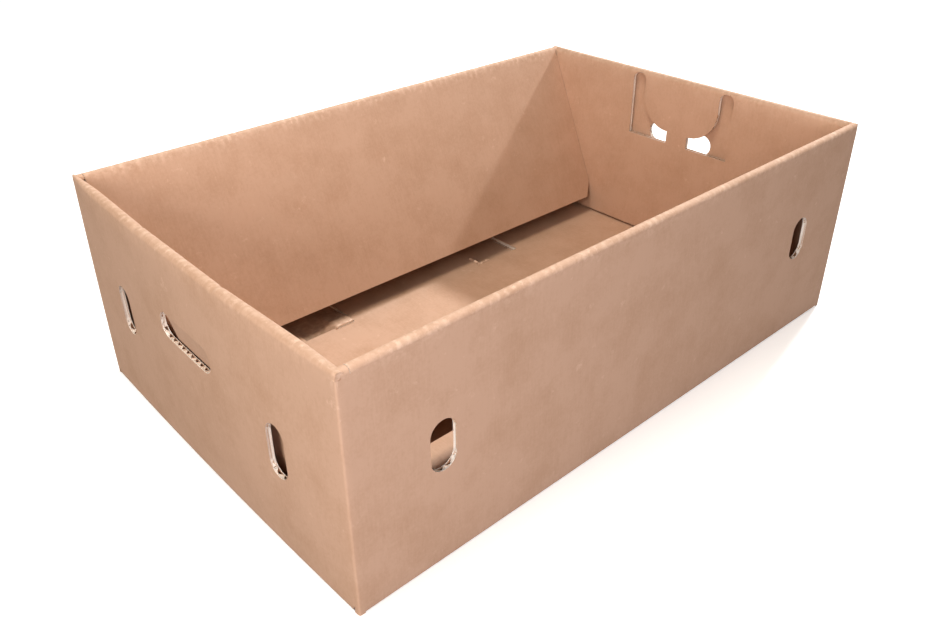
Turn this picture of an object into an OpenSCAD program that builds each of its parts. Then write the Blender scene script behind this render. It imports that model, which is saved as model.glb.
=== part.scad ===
// Corrugated cardboard tray box, folded from one die-cut sheet.
// Frame: origin at the middle of the underside, +X along the length, +Y to the back, +Z up.

/* [Tray] */
// Outside length
tray_l = 600; // [480:5:760]
// Outside width
tray_w = 390; // [360:5:480]
// Outside height
tray_h = 200; // [190:5:260]

/* [Board] */
// Thickness of the corrugated board
board = 4; // [3:0.5:5]
// Inside radius of a right-angled fold
fold_r = 1; // [1:0.5:3]
// Space between the two plies of an end wall
ply_gap = 2.2; // [2.2:0.1:4]
// Space between two layers of the base
layer_gap = 0.2; // [0.1:0.1:0.6]
// Width of a die-cut slit
slit = 1.2; // [0.6:0.2:2]

/* [End walls] */
// Distance from each long outer face to the end of the rolled rim
rim_inset = 2.5; // [1:0.5:6]
// Space round the lower and side edges of the inner ply
ply_edge_gap = 0.5; // [0.3:0.1:2]
// Length of the hand hole
hand_l = 82; // [70:1:100]
// Height of the hand hole
hand_h = 22; // [18:1:28]
// Distance from the rim down to the hand hole's middle
hand_drop = 66.5; // [62:0.5:70]
// Width of the hand tongue in the inner ply
hand_tongue_w = 96; // [84:1:110]
// Radius of the hand tongue's lower corners
hand_tongue_r = 34; // [20:1:38]
// Distance from the rim down to the hand tongue's lower edge
hand_tongue_drop = 60.5; // [55:0.5:64]
// Width of the slot on each side of the hand tongue
hand_slot_w = 17.5; // [10:0.5:22]
// Distance from the rim down to the hand slots' lower edge
hand_slot_drop = 74; // [68:0.5:78]
// Board left above the hand slots, at the crown of the rim
hand_slot_crown = 2.5; // [1.5:0.5:6]
// Width of the bridge left between the hand slots
hand_bridge_w = 27; // [15:1:40]
// Width of an end vent slot
end_vent_w = 21; // [14:1:28]
// Height of an end vent slot
end_vent_h = 46; // [30:1:60]
// Distance from each corner to the middle of an end vent slot
end_vent_inset = 74; // [50:1:100]
// Distance from the rim down to the end vent slots' middle
end_vent_drop = 96; // [80:1:120]
// Length of the glued lap behind the right end wall
lap_l = 35; // [20:1:45]
// Thickness of the crushed lap
lap_t = 1.8; // [1:0.1:1.8]
// Space that the glue fills between the lap and the end wall
glue_gap = 0.2; // [0.1:0.1:0.2]
// Slope of the lap's upper and lower edges
lap_taper = 10; // [4:1:20]

/* [Long walls] */
// Width of a long wall vent slot
long_vent_w = 23; // [14:1:30]
// Height of a long wall vent slot
long_vent_h = 43; // [30:1:60]
// Distance from each corner to the middle of a long wall vent slot
long_vent_inset = 78; // [50:1:110]
// Distance from the rim down to the long wall vent slots' middle
long_vent_drop = 95; // [80:1:120]

/* [Flaps] */
// Space left above the base by a flap that is pressed to its wall
flap_floor_gap = 5; // [1:0.5:60]
// Angle at which a hanging flap leans inwards
flap_lean = 24; // [6:1:40]
// Width of the chamfer on a flap's lower corners
flap_chamfer_w = 10; // [2:1:20]
// Height of the chamfer on a flap's lower corners
flap_chamfer_h = 18; // [5:1:50]
// Space between a flap's side edge and the end wall
flap_side_gap = 0.6; // [0.4:0.1:2]
// Running clearance between a flap's fold and its wall
fold_gap = 0.3; // [0.2:0.1:0.8]

/* [Base] */
// Distance from the front wall to the start of the upper base flap's step
step_inset = 42; // [20:1:60]
// Length of the step up on to the lower base flap
step_l = 34; // [20:1:60]
// Distance from the back wall to the rear edge of the upper base flap
upper_inset = 45; // [30:1:60]
// Space between the base flaps and the folds at the feet of the end walls
base_side_gap = 1.5; // [1.2:0.1:3]
// Space between neighbouring edges in the lower layer
base_edge_gap = 3; // [1:0.5:8]
// Reach of an end base flap from its end wall
end_flap_l = 95; // [50:1:140]
// Distance from the back wall to the slanted side of an end base flap
end_flap_inset = 118; // [60:1:160]
// Distance from the middle of the tray to the middle of a locking tongue
lock_x = 117; // [90:1:140]
// Width of a locking tongue
lock_w = 54; // [30:1:70]
// Space beside a tongue in its notch
lock_side_gap = 2; // [1:0.5:6]
// Depth of a notch from the upper base flap's rear edge
notch_l = 46; // [38:1:56]
// Distance from a notch's front edge back to the tongue's root
lock_root = 38; // [36:1:44]
// How far a raised tongue reaches past the notch's front edge
lock_reach = 2.5; // [2:0.5:10]
// Space between the raised tongue and the notch's front edge
lock_gap = 0.8; // [0.4:0.1:2]

/* [Hidden] */
$fn = 96;

// Half sizes of the outer faces and of the space inside the walls
half_l = tray_l / 2;
half_w = tray_w / 2;
in_l = half_l - board;
in_w = half_w - board;

// Folds
bend_r = board + fold_r;
bend_x = half_l - bend_r;
bend_y = half_w - bend_r;
glued_x = in_l - glue_gap - bend_r;
roll_r = board + ply_gap / 2;
roll_z = tray_h - roll_r;
ply_x = half_l - board - ply_gap;
end_in = ply_x - board;

// Layers of the base
upper_bottom = board + layer_gap;
upper_top = upper_bottom + board;
ply_bottom = upper_top + ply_edge_gap;

// Fold axis of the hanging flaps
hinge_y = half_w - board;
hinge_z = tray_h - board;
flap_w = 2 * (end_in - flap_side_gap);
flap_l = hinge_z - upper_top - flap_floor_gap;

// Heights of what is placed from the rim
hand_z = tray_h - hand_drop;
hand_tongue_z = tray_h - hand_tongue_drop;
hand_slot_z = tray_h - hand_slot_drop;
end_vent_z = tray_h - end_vent_drop;
long_vent_z = tray_h - long_vent_drop;

// Plan of the base
step_y0 = -half_w + step_inset;
step_y1 = step_y0 + step_l;
upper_rear = half_w - upper_inset;
notch_y = upper_rear - notch_l;
notch_w = lock_w + 2 * lock_side_gap;
lower_front = step_y1 + base_edge_gap;
base_half_l = bend_x - base_side_gap;
lock_root_y = notch_y + lock_root;
lock_rise = upper_top + lock_gap;
lock_tilt = atan2(lock_rise, lock_root);
lock_l = (lock_root + lock_reach) / cos(lock_tilt);

// How far a cutting solid reaches past the face that it cuts
past = 1;

kraft = "#c69a78";
kraft_flap = "#c2936f";

// Quarter of a ring between the +X and +Y axes, t thick
module quarter_ring(inner_r, t = board) {
    intersection() {
        difference() {
            circle(r = inner_r + t);
            circle(r = inner_r);
        }
        square(inner_r + t);
    }
}

// Slot with round ends, w along X and h along Y, middle at the origin
module obround(w, h) {
    r = min(w, h) / 2;
    straight = [w / 2 - r, h / 2 - r];
    square([w > h ? 2 * straight.x : w, w > h ? h : 2 * straight.y], center = true);
    for (s = [-1, 1]) translate(s * straight) circle(r = r);
}

// Outline in Y and Z, swept along X from x0 to x1
module along_x(x0, x1) {
    translate([x0, 0, 0]) rotate([90, 0, 90]) linear_extrude(x1 - x0) children();
}

// Outline in X and Z, swept along Y from y0 to y1
module along_y(y0, y1) {
    translate([0, y1, 0]) rotate([90, 0, 0]) linear_extrude(y1 - y0) children();
}

// Plan of the three folded corners and of the end wall's raw edge at the glued one
module corner_plan() {
    translate([bend_x, -bend_y]) rotate(-90) quarter_ring(fold_r);
    translate([-bend_x, -bend_y]) rotate(180) quarter_ring(fold_r);
    translate([-bend_x, bend_y]) rotate(90) quarter_ring(fold_r);
    translate([in_l, bend_y]) square([board, bend_r]);
}

// Plan of the four outer walls
module wall_plan() {
    translate([-bend_x, -half_w]) square([2 * bend_x, board]);
    translate([-bend_x, in_w]) square([bend_x + glued_x, board]);
    for (s = [0, 1]) mirror([s, 0]) translate([in_l, -bend_y]) square([board, 2 * bend_y]);
    corner_plan();
}

// Crushed fold and lap of the back wall, which close the ring of walls inside the right end wall
module glue_lap() {
    lap_x = in_l - glue_gap;
    lap_top = roll_z - fold_r;
    tip_y = bend_y - lap_l;
    linear_extrude(lap_top)
        translate([glued_x, bend_y]) quarter_ring(bend_r - lap_t, lap_t);
    along_x(lap_x - lap_t, lap_x)
        polygon([
            [bend_y, bend_r],
            [tip_y, bend_r + lap_taper],
            [tip_y, lap_top - lap_taper],
            [bend_y, lap_top]
        ]);
}

// Rolled rim and inner ply of the end wall on the +X side
module end_ply() {
    rim_half = half_w - rim_inset;
    ply_half = in_w - ply_edge_gap;
    along_y(-rim_half, rim_half)
        translate([half_l - roll_r, roll_z]) {
            quarter_ring(ply_gap / 2);
            rotate(90) quarter_ring(ply_gap / 2);
        }
    translate([end_in, -ply_half, ply_bottom]) cube([board, 2 * ply_half, roll_z - ply_bottom]);
}

// Outline in Y and Z of the pair of slots that free the hand tongue
module hand_slots() {
    outer = hand_tongue_w / 2 + hand_slot_w;
    leg_r = hand_slot_w / 2;
    leg_top = tray_h - hand_slot_crown - leg_r;
    corner_y = hand_tongue_w / 2 - hand_tongue_r;
    corner_z = hand_tongue_z + hand_tongue_r;
    difference() {
        union() {
            translate([-outer, hand_slot_z]) square([2 * outer, leg_top - hand_slot_z]);
            for (s = [-1, 1]) translate([s * (outer - leg_r), leg_top]) circle(r = leg_r);
        }
        translate([-hand_tongue_w / 2, corner_z]) square([hand_tongue_w, tray_h - corner_z]);
        translate([-corner_y, hand_tongue_z]) square([2 * corner_y, tray_h - hand_tongue_z]);
        for (s = [-1, 1]) translate([s * corner_y, corner_z]) circle(r = hand_tongue_r);
        translate([-hand_bridge_w / 2, 0]) square([hand_bridge_w, tray_h]);
    }
}

// Everything that is cut from the end wall on the +X side
module end_cuts() {
    along_x(end_in - past, half_l - roll_r) hand_slots();
    along_x(in_l - past, half_l + past) {
        translate([0, hand_z]) obround(hand_l, hand_h);
        for (s = [-1, 1])
            translate([s * (half_w - end_vent_inset), end_vent_z]) obround(end_vent_w, end_vent_h);
    }
}

// Vent slots and the hollow seat of the fold, cut from the long wall on the +Y side
module long_cuts() {
    seat_x = end_in - flap_side_gap / 2;
    along_y(in_w - past, half_w + past)
        for (s = [-1, 1])
            translate([s * (half_l - long_vent_inset), long_vent_z]) obround(long_vent_w, long_vent_h);
    along_x(-seat_x, seat_x)
        translate([hinge_y, hinge_z]) circle(r = board + fold_gap);
}

// Fold from the foot of the long wall on the -Y side into the base, as far as end_x on the right
module long_foot(end_x) {
    along_x(-bend_x, end_x)
        translate([-bend_y, bend_r]) rotate(180) quarter_ring(fold_r);
}

// Base flap of the front wall: it starts on the ground and steps up over the lower layer
module upper_base() {
    difference() {
        along_x(-base_half_l, base_half_l)
            polygon([
                [-bend_y, 0],
                [step_y0, 0],
                [step_y1, upper_bottom],
                [upper_rear, upper_bottom],
                [upper_rear, upper_top],
                [step_y1, upper_top],
                [step_y0, board],
                [-bend_y, board]
            ]);
        for (s = [-1, 1])
            translate([s * lock_x - notch_w / 2, notch_y, upper_bottom - past])
                cube([notch_w, notch_l + past, board + 2 * past]);
    }
}

// Slit on three sides of a tongue in the lower layer, middle at X = 0
module lock_slit() {
    slit_w = lock_w + 2 * slit;
    translate([-slit_w / 2, lock_root_y - lock_l - slit]) square([slit_w, lock_l + slit]);
}

// Tongue in line with the lower layer, middle at X = 0
module flat_lock() {
    translate([-lock_w / 2, lock_root_y - lock_l, 0]) cube([lock_w, lock_l + past, board]);
}

// Tongue bent up through its notch, middle at X = 0
module raised_lock() {
    along_x(-lock_w / 2, lock_w / 2)
        translate([lock_root_y, 0]) rotate(-lock_tilt) translate([-lock_l, 0]) square([lock_l, board]);
}

// Base flap of the back wall, with the two locking tongues
module lower_base() {
    mitre_y = half_w - end_flap_inset + base_edge_gap;
    narrow_x = base_half_l - end_flap_l;
    narrow_y = mitre_y - end_flap_l;
    difference() {
        linear_extrude(board)
            polygon([
                [-base_half_l, bend_y],
                [-base_half_l, mitre_y],
                [-narrow_x, narrow_y],
                [-narrow_x, lower_front],
                [narrow_x, lower_front],
                [narrow_x, narrow_y],
                [base_half_l, mitre_y],
                [base_half_l, bend_y]
            ]);
        translate([0, 0, -past])
            linear_extrude(board + 2 * past)
                for (s = [-1, 1]) translate([s * lock_x, 0]) lock_slit();
    }
    translate([-lock_x, 0, 0]) raised_lock();
    translate([lock_x, 0, 0]) flat_lock();
}

// Foot and base flap of the end wall on the +X side, with a nick beside each long foot
module end_base() {
    foot_y = bend_y - base_side_gap;
    mitre_y = half_w - end_flap_inset;
    tip_x = base_half_l - end_flap_l + base_edge_gap;
    tip_y = mitre_y - (bend_x - tip_x);
    along_y(-foot_y, foot_y)
        translate([bend_x, bend_r]) rotate(-90) quarter_ring(fold_r);
    linear_extrude(board)
        polygon([
            [bend_x, lower_front],
            [bend_x, mitre_y],
            [tip_x, tip_y],
            [tip_x, lower_front]
        ]);
}

// The folded sheet apart from its two free flaps
module tray() {
    color(kraft) {
        difference() {
            union() {
                translate([0, 0, bend_r]) linear_extrude(roll_z - bend_r) wall_plan();
                for (m = [0, 1]) mirror([m, 0, 0]) end_ply();
                glue_lap();
            }
            for (m = [0, 1]) {
                mirror([m, 0, 0]) end_cuts();
                mirror([0, m, 0]) long_cuts();
            }
        }
        long_foot(bend_x);
        mirror([0, 1, 0]) long_foot(glued_x);
        for (m = [0, 1]) mirror([m, 0, 0]) end_base();
        linear_extrude(bend_r) corner_plan();
        upper_base();
        lower_base();
    }
}

// Free flap on the +Y side: a round fold on the hinge axis and a panel that leans inwards
module hanging_flap() {
    translate([0, hinge_y, hinge_z]) rotate([-flap_lean, 0, 0]) {
        along_x(-flap_w / 2, flap_w / 2) circle(r = board);
        along_y(-board, 0)
            polygon([
                [-flap_w / 2, 0],
                [flap_w / 2, 0],
                [flap_w / 2, flap_chamfer_h - flap_l],
                [flap_w / 2 - flap_chamfer_w, -flap_l],
                [flap_chamfer_w - flap_w / 2, -flap_l],
                [-flap_w / 2, flap_chamfer_h - flap_l]
            ]);
    }
}

module back_flap() {
    color(kraft_flap) hanging_flap();
}

module front_flap() {
    color(kraft_flap) mirror([0, 1, 0]) hanging_flap();
}

tray();
back_flap();
front_flap();
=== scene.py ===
"""Looks of the corrugated cardboard tray: real liners and flutes, folded from developed panels."""
import math

import bmesh
import bpy
import numpy as np
from mathutils import Matrix, Vector
from mathutils.geometry import delaunay_2d_cdt


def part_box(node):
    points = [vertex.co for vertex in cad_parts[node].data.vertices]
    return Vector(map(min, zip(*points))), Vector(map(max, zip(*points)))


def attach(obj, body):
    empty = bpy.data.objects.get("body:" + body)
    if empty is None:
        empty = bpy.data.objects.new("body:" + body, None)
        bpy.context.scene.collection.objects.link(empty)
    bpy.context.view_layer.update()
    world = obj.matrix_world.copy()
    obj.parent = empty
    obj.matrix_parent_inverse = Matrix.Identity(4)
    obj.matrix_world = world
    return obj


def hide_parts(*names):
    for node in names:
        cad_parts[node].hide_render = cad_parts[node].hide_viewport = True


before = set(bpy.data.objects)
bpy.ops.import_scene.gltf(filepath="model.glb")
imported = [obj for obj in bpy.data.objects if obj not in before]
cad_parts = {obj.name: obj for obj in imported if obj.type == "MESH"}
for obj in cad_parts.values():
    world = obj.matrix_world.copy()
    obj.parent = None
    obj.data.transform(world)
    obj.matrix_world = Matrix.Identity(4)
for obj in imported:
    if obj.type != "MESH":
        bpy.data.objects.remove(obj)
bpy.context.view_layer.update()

MM = 0.001
TAU = 2 * math.pi

# Outer half sizes and height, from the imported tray
_, tray_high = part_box("tray")
HALF_L = tray_high.x
HALF_W = tray_high.y
TRAY_H = tray_high.z

# Board
BOARD = 4 * MM
LINER = 0.45 * MM
MEDIUM = 0.5 * MM
PITCH = 7.4 * MM
FOLD_R = 1 * MM
PLY_GAP = 2.2 * MM
FLUTE_STEPS = 10
FLUTE_REACH = 12 * MM
CRUSH = 0.5 * MM
# Profile of a crushed edge, as shares of the thickness and of the crush
CRUSHED = ((0, 0), (0.2, 0.8), (0.5, 1), (0.8, 0.8), (1, 0))
# Slope below which an edge runs across the flutes and shows them
ACROSS = 0.8

# Folds
BEND_R = BOARD + FOLD_R
BEND_X = HALF_L - BEND_R
BEND_Y = HALF_W - BEND_R
FOOT_ARC = BEND_R * math.pi / 2
ROLL_R = BOARD + PLY_GAP / 2
ROLL_Z = TRAY_H - ROLL_R
ROLL_END = ROLL_Z + math.pi * ROLL_R
END_IN = HALF_L - 2 * ROLL_R
RIM_HALF = HALF_W - 0.4 * MM
WALL_BLEND = 16 * MM
PLY_HALF = HALF_W - BOARD - 0.5 * MM
PLY_LIFT = 3 * MM

# Powers of the folds' curves, and how the rolled rims narrow towards the corners
SHARP = 4
ROLL_POWER = 0.85
ROLL_PINCH = 0.4
ROLL_NARROW = 3.5 * MM
NARROW_POWER = 0.6
PINCH = 60 * MM
PINCH_IN = 3 * MM

# Dents of the rims, and their pale wear mixed with a painted highlight along the rolled rims: depths,
# shares, and slow waves in radians per metre
RIM_DENT = 0.14 * MM
BEAD_DENT = 0.3 * MM
DENT_PRINT = 0.3
DENT_SLOW = 0.2
DENT_WAVES = (91, 237)
WEAR_HIGHLIGHT_FADE = 9 * MM
WEAR_HIGHLIGHT_EVEN = 0.27
WEAR_HIGHLIGHT_PRINT = 0.13
WEAR_HIGHLIGHT_SLOW = 0.08
WEAR_HIGHLIGHT_WAVES = (53, 131)
EDGE_WEAR = 0.3
CAP_WEAR = 0.4
STUB_WEAR = 0.1

# Hanging flaps, whose folds lie on the joints' axes
HINGE_Y = HALF_W - BOARD
HINGE_Z = TRAY_H - BOARD
FLAP_HALF = END_IN - 0.6 * MM
FLAP_L = 182.8 * MM
FLAP_LEAN = math.radians(24)
CHAMFER_W = 10 * MM
CHAMFER_H = 18 * MM
BEAD_MARGIN = 8 * MM

# Round folds of the flaps and their fixed ends: first angle, last angle and step in degrees
BEAD_ARC = (180, -160, 17)
STUB_ARC = (-90, 180, 15)
STUB_GAP = 0.3 * MM
STUB_PAST = 1 * MM

# Cut-outs: half sizes and places of their middles
HAND_HALF_L = 41 * MM
HAND_HALF_H = 11 * MM
HAND_Z = TRAY_H - 66.5 * MM
HAND_PUSH = 5 * MM
# Cut-out that still hangs in the left hand hole: its end, gap and curl
HAND_FLAP_END = -34 * MM
HAND_FLAP_GAP = 0.3 * MM
HAND_CURL = 7 * MM
HAND_CURL_L = 13 * MM
HAND_CURL_SHIFT = 2 * MM
# Vents, and the slots that free the hand tongues
END_VENT = (10.5 * MM, 23 * MM)
END_VENT_Y = HALF_W - 74 * MM
END_VENT_Z = TRAY_H - 96 * MM
LONG_VENT = (11.5 * MM, 21.5 * MM)
LONG_VENT_X = HALF_L - 78 * MM
LONG_VENT_Z = TRAY_H - 95 * MM
TONGUE_HALF = 48 * MM
TONGUE_R = 34 * MM
TONGUE_Z = TRAY_H - 60.5 * MM
SLOT_W = 17.5 * MM
SLOT_Z = TRAY_H - 74 * MM
SLOT_TOP = TRAY_H - 2.5 * MM
BRIDGE_HALF = 13.5 * MM

# Base
LAYER_GAP = 0.2 * MM
UPPER_RISE = BOARD + LAYER_GAP
BASE_TOP = UPPER_RISE + BOARD
BASE_HALF = BEND_X - 1.5 * MM
FOOT_HALF = BEND_Y - 1.5 * MM
STEP_Y0 = -HALF_W + 42 * MM
STEP_Y1 = STEP_Y0 + 34 * MM
UPPER_REAR = HALF_W - 45 * MM
NOTCH_Y = UPPER_REAR - 46 * MM
LOCK_X = 117 * MM
LOCK_HALF = 27 * MM
NOTCH_HALF = LOCK_HALF + 2 * MM
LOCK_ROOT = NOTCH_Y + 38 * MM
LOCK_L = 41.6 * MM
LOCK_TILT = math.radians(11.8)
SLIT = 1.2 * MM
LOWER_FRONT = STEP_Y1 + 3 * MM
MITRE_Y = HALF_W - 115 * MM
NARROW_X = BASE_HALF - 95 * MM
EDGE_GAP = 3 * MM

# Twist and thin tip of the raised locking tongue: shares of its half width and thickness, lengths, and the
# painted highlight on its tip and on its top face
TWIST_START = 0.15
TWIST_RUN = 0.5
TIP_THIN = 0.45
TIP_L = 14 * MM
TIP_HIGHLIGHT_L = 3 * MM
TIP_HIGHLIGHT = 1.0
TONGUE_HIGHLIGHT = 0.35

# Outward bow of the left end wall, and the kinks of its rim
BOW_LOW = 2.5 * MM
BOW_MID = 5.8 * MM
BOW_SKEW = 0.8
KINK_Y = np.array([-HALF_W, -57 * MM, 65 * MM, HALF_W])
KINK_OUT = np.array([0, 3.5, 3, 0]) * MM
KINK_DROP = np.array([0, 1.6, 1.4, 0]) * MM
NICK = 1 * MM
NICK_L = 2.5 * MM
SAG = 4 * MM
# Shares of the wall's height where the bow is widest and where the inner ply starts to follow
BOW_AT = 0.6
PLY_FROM = 0.55
# Reach of the bow from the left end, and the length over which it fades
BOW_REACH = 30 * MM
BOW_FADE = 12 * MM

# Torn paper at the right notch: start, direction in degrees, length, width and rise
TORN = (
    ((LOCK_X - NOTCH_HALF - 2 * MM, NOTCH_Y + 17 * MM), -90, 17 * MM, 4.5 * MM, 2 * MM),
    ((LOCK_X - NOTCH_HALF - 5 * MM, NOTCH_Y - 1 * MM), 6, 20 * MM, 3 * MM, 1 * MM),
)
# Waves of the torn edge in radians per metre, and the wear of its two faces
JAG_WAVES = (2100, 830, 4700)
CURL_WAVE = 900
TORN_WEAR = (0.9, 0.5)

# Glued lap at the back right corner
GLUE_GAP = 0.2 * MM
LAP_T = 1.8 * MM
LAP_L = 35 * MM
LAP_TAPER = 10 * MM
GLUED_X = HALF_L - BOARD - GLUE_GAP - BEND_R

# Mesh density and tolerances
STEP = 10 * MM
MID_STEP = 3 * MM
FINE_STEP = 2 * MM
FOOT_STEP = 1.6 * MM
ROLL_STEP = 1.4 * MM
TEAR_STEP = 1.2 * MM
RIM_STEP = PITCH / 4
ARC_POINTS = 17
TONGUE_POINTS = 14
EDGE_MIN = 0.3 * MM
GRID_GAP = 0.9 * MM
WELD = 0.004 * MM
SAME = 1e-6
MESH_ERROR = 1e-8
ROUNDING = 1e-9
SHARP_EDGE = math.radians(38)

# Faces of a mesh: paper outside, raw cut edges, and the fluted middle
PAPER, CUT, CORE = 0, 1, 2


class Skin:
    """Points and faces of one mesh, gathered panel by panel."""

    def __init__(self):
        self.points = []
        self.coords = []
        self.wear_and_highlight = []
        self.faces = []
        self.looks = []
        self.count = 0

    def add(self, points, faces, look, coords, wear_and_highlight=0.0):
        self.points.append(np.asarray(points, float))
        self.coords.append(np.asarray(coords, float))
        self.wear_and_highlight.append(np.broadcast_to(np.asarray(wear_and_highlight, float), len(points)))
        self.faces += [tuple(int(i) + self.count for i in face) for face in faces]
        self.looks += [look] * len(faces)
        self.count += len(points)

    def build(self, name, materials, warp=None):
        """The finished object: warped, welded, smooth apart from its raw edges."""
        points = np.concatenate(self.points)
        coords = np.concatenate(self.coords)
        if warp:
            points = warp(points)
        mesh = bpy.data.meshes.new(name)
        mesh.from_pydata(points.tolist(), [], self.faces)
        mesh.polygons.foreach_set("material_index", np.array(self.looks, np.int32))
        corner = np.zeros(len(mesh.loops), np.int32)
        mesh.loops.foreach_get("vertex_index", corner)
        flat = coords[corner].astype(np.float32).ravel()
        mesh.uv_layers.new(name="board").uv.foreach_set("vector", flat)
        worn_and_lit = np.concatenate(self.wear_and_highlight).astype(np.float32)
        # Per-point wear, which on the rims and on the raised tongue is a painted highlight.
        mesh.attributes.new("wear_and_highlight", "FLOAT", "POINT").data.foreach_set("value", worn_and_lit)
        for material in materials:
            mesh.materials.append(material)
        solid = bmesh.new()
        solid.from_mesh(mesh)
        bmesh.ops.remove_doubles(solid, verts=solid.verts, dist=WELD)
        bmesh.ops.dissolve_degenerate(solid, dist=WELD / 4, edges=solid.edges)
        solid.to_mesh(mesh)
        solid.free()
        mesh.shade_smooth()
        mesh.set_sharp_from_angle(angle=SHARP_EDGE)
        thing = bpy.data.objects.new(name, mesh)
        bpy.context.scene.collection.objects.link(thing)
        return thing


def spread(a, b, step):
    """Evenly spaced values from a to b, at most step apart."""
    return np.linspace(a, b, max(1, math.ceil(abs(b - a) / step - ROUNDING)) + 1)


def joined(*runs):
    """Runs of values end to end, each value once."""
    values = np.sort(np.concatenate(runs))
    return values[np.r_[True, np.diff(values) > SAME]]


def arc(middle, radius, start, stop, count):
    """Points along an arc, angles in degrees."""
    turn = np.radians(np.linspace(start, stop, count))
    return np.c_[middle[0] + radius * np.cos(turn), middle[1] + radius * np.sin(turn)]


def obround(middle, half_w, half_h):
    """Slot with round ends as a loop."""
    r = min(half_w, half_h)
    du, dv = half_w - r, half_h - r
    ends = [(90, -90), (-90, -270)] if du > dv else [(180, 0), (0, -180)]
    return np.concatenate([
        arc((middle[0] + s * du, middle[1] + s * dv), r, a, b, ARC_POINTS)
        for s, (a, b) in zip((1, -1), ends)
    ])


def turned(loop, clockwise):
    """The loop in the given sense."""
    loop = np.asarray(loop, float)
    after = np.roll(loop, -1, axis=0)
    area = np.sum(loop[:, 0] * after[:, 1] - after[:, 0] * loop[:, 1])
    return loop[::-1] if (area < 0) != clockwise else loop


def inside(points, loops):
    """Whether each point lies within the outline and outside its holes."""
    u, v = points.T
    odd = np.zeros(len(points), bool)
    for loop in loops:
        for (au, av), (bu, bv) in zip(loop, np.roll(loop, -1, axis=0)):
            if av != bv:
                odd ^= ((av > v) != (bv > v)) & (u < (bu - au) * (v - av) / (bv - av) + au)
    return odd


def split_loop(loop, lines):
    """The loop's points, with more where a long edge crosses the grid, and each one's edge number."""
    points, edges = [], []
    for i, (a, b) in enumerate(zip(loop, np.roll(loop, -1, axis=0))):
        stops = [0.0]
        for axis, values in enumerate(lines):
            if abs(b[axis] - a[axis]) > STEP / 8:
                stops += [(x - a[axis]) / (b[axis] - a[axis]) for x in values]
        length = np.linalg.norm(b - a)
        last = -1.0
        for t in sorted(stops):
            if 0 <= t and (t - last) * length > EDGE_MIN and (1 - t) * length > EDGE_MIN:
                points.append(a + (b - a) * t)
                edges.append(i)
                last = t
    return np.array(points), edges


def triangles(loops, grid):
    """Triangles between the loops, with the grid's points inside them."""
    border = np.concatenate(loops)
    grid = grid[inside(grid, loops)]
    gap = np.array([np.min(np.sum((border - p) ** 2, axis=1)) for p in grid])
    points = np.vstack([border, grid[gap > GRID_GAP ** 2]])
    edges, first = [], 0
    for loop in loops:
        n = len(loop)
        edges += [(first + i, first + (i + 1) % n) for i in range(n)]
        first += n
    verts, _, faces, *_ = delaunay_2d_cdt([Vector(p) for p in points], edges, [], 0, MESH_ERROR)
    verts = np.array([tuple(p) for p in verts])
    faces = np.array([f for f in faces if len(f) == 3])
    return verts, faces[inside(verts[faces].mean(axis=1), loops)]


def crossings(loops, u, low, high):
    """Pairs of edges between which a line along the flutes runs through board."""
    hits = []
    for loop in loops:
        for a, b in zip(loop, np.roll(loop, -1, axis=0)):
            if (a[0] > u) != (b[0] > u):
                hits.append((a[1] + (b[1] - a[1]) * (u - a[0]) / (b[0] - a[0]), a, b))
    hits.sort(key=lambda hit: hit[0])
    return [(p, q) for p, q in zip(hits[::2], hits[1::2]) if p[0] < high and q[0] > low]


def along_edge(hit, u):
    """Height of an edge at u, kept within the edge."""
    _, a, b = hit
    t = min(1.0, max(0.0, (u - a[0]) / (b[0] - a[0])))
    return a[1] + (b[1] - a[1]) * t


def wave(u):
    """Depth of the fluted paper's middle."""
    return BOARD / 2 + (BOARD / 2 - LINER - MEDIUM / 2) * np.sin(TAU * u / PITCH)


def flutes(skin, loops, place, window):
    """The fluted paper between the liners, within one window of a panel."""
    (u0, u1), (v0, v1) = window
    stops = spread(u0, u1, PITCH / FLUTE_STEPS)
    for a, b in zip(stops[:-1], stops[1:]):
        for low, high in crossings(loops, (a + b) / 2, v0, v1):
            start = [max(v0, along_edge(low, u)) for u in (a, b)]
            stop = [min(v1, along_edge(high, u)) for u in (a, b)]
            if min(stop) - max(start) < MEDIUM:
                continue
            u = np.array([a, b, b, a] * 2)
            v = np.array((start + stop[::-1]) * 2)
            depth = wave(u) + np.repeat([-MEDIUM / 2, MEDIUM / 2], 4)
            points = place(u, v, depth)
            skin.add(points, [(0, 1, 2, 3), (7, 6, 5, 4)], CORE, np.c_[u, v])
            ends = (
                (low[0] > v0, 1, (0, 4, 5, 1), [0, 0, 1, 1]),
                (high[0] < v1, -1, (2, 6, 7, 3), [3, 3, 2, 2]),
            )
            skin.add(points, [cap for cut, _, cap, _ in ends if cut], CUT, np.c_[u, v])
            for cut, out, _, corners in ends:
                if cut:
                    end_u = u[corners]
                    end_v = v[corners] + out * CRUSH
                    end_depth = np.where([False, True, True, False], wave(end_u) - MEDIUM / 2, LINER)
                    face = (0, 1, 2, 3) if out > 0 else (3, 2, 1, 0)
                    skin.add(place(end_u, end_v, end_depth), [face], CUT, np.c_[end_u, end_v])


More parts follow.
